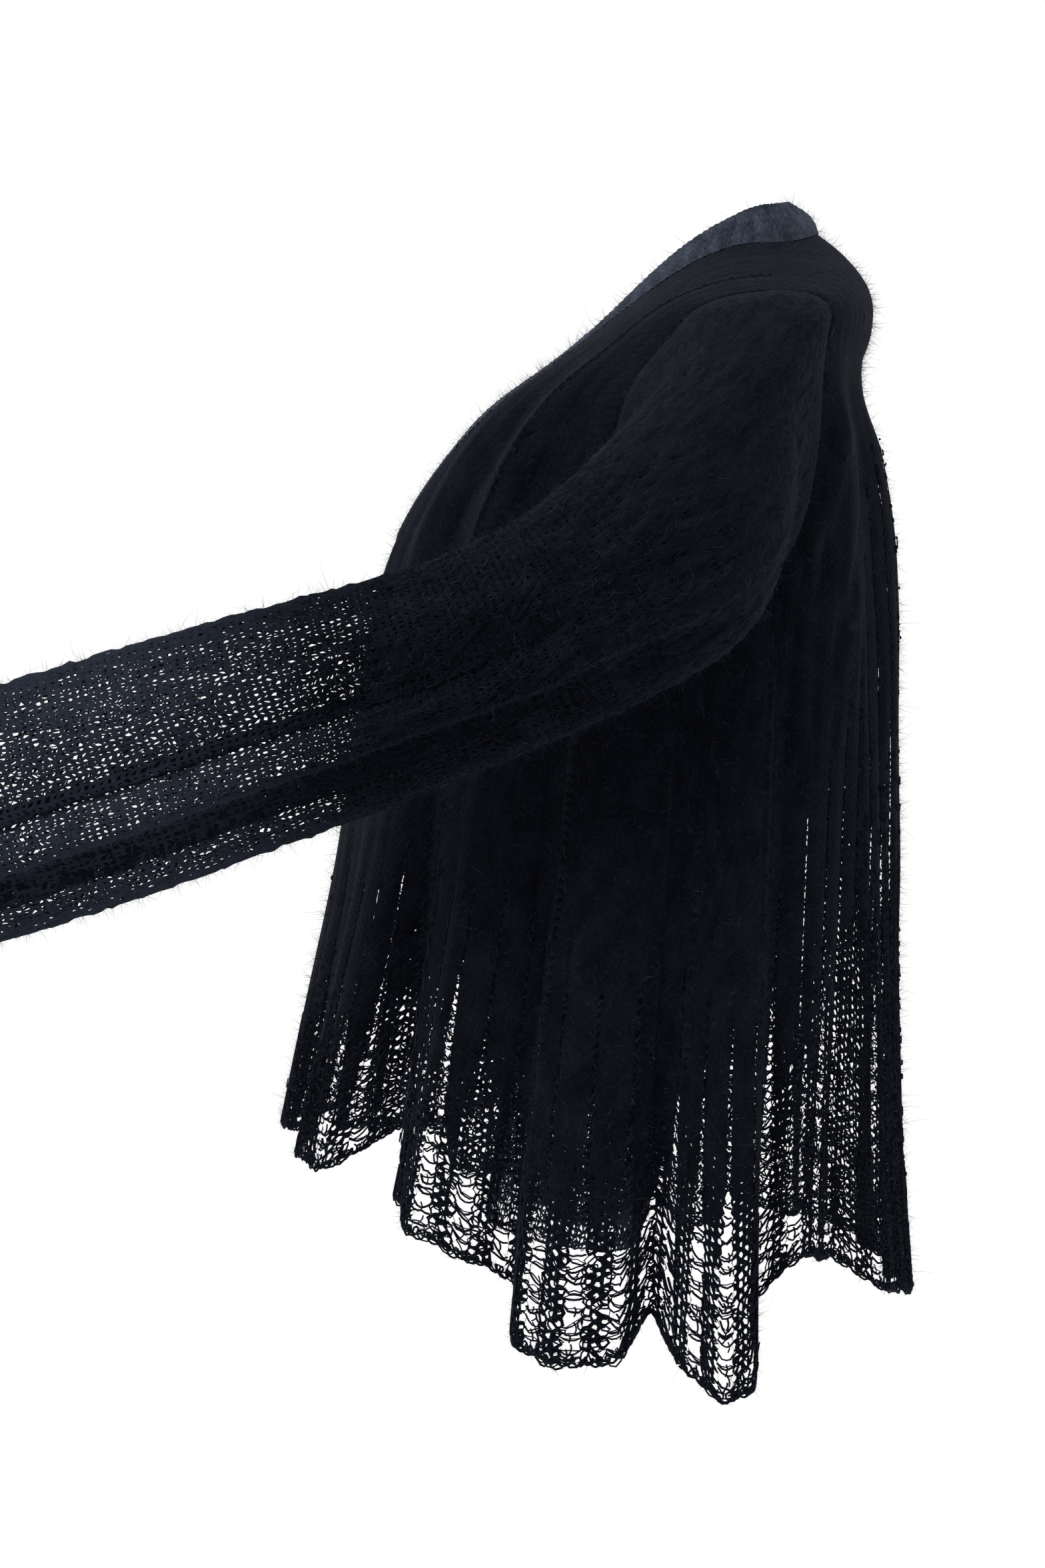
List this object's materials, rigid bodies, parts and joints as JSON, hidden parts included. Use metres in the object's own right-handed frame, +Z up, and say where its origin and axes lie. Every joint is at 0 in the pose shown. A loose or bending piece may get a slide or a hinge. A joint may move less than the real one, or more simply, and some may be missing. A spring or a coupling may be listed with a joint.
{
  "type": "mohair cardigan",
  "caption": "Open-front swing cardigan in brushed open knit, with fluted ladder-lace hem, narrow neckband and long sheer sleeves, kept hollow in its worn form.",
  "frame": {"origin": "middle of the shoulder line at the base of the neck, where the wearer carries the garment", "axes": "+Z up, -Y to the wearer's front, +X to the wearer's left"},
  "size_m": [0.6892, 0.5891, 0.6744],
  "materials": {
    "body_knit": "brushed mohair, ladder rib",
    "sleeve_knit": "brushed mohair, fine open knit",
    "band_knit": "brushed mohair, close plain knit"
  },
  "bodies": {
    "root": {"back": "body_knit", "front_left": "body_knit", "front_right": "body_knit", "sleeve_left": "sleeve_knit", "sleeve_right": "sleeve_knit", "neckband": "band_knit"}
  },
  "joints": []
}
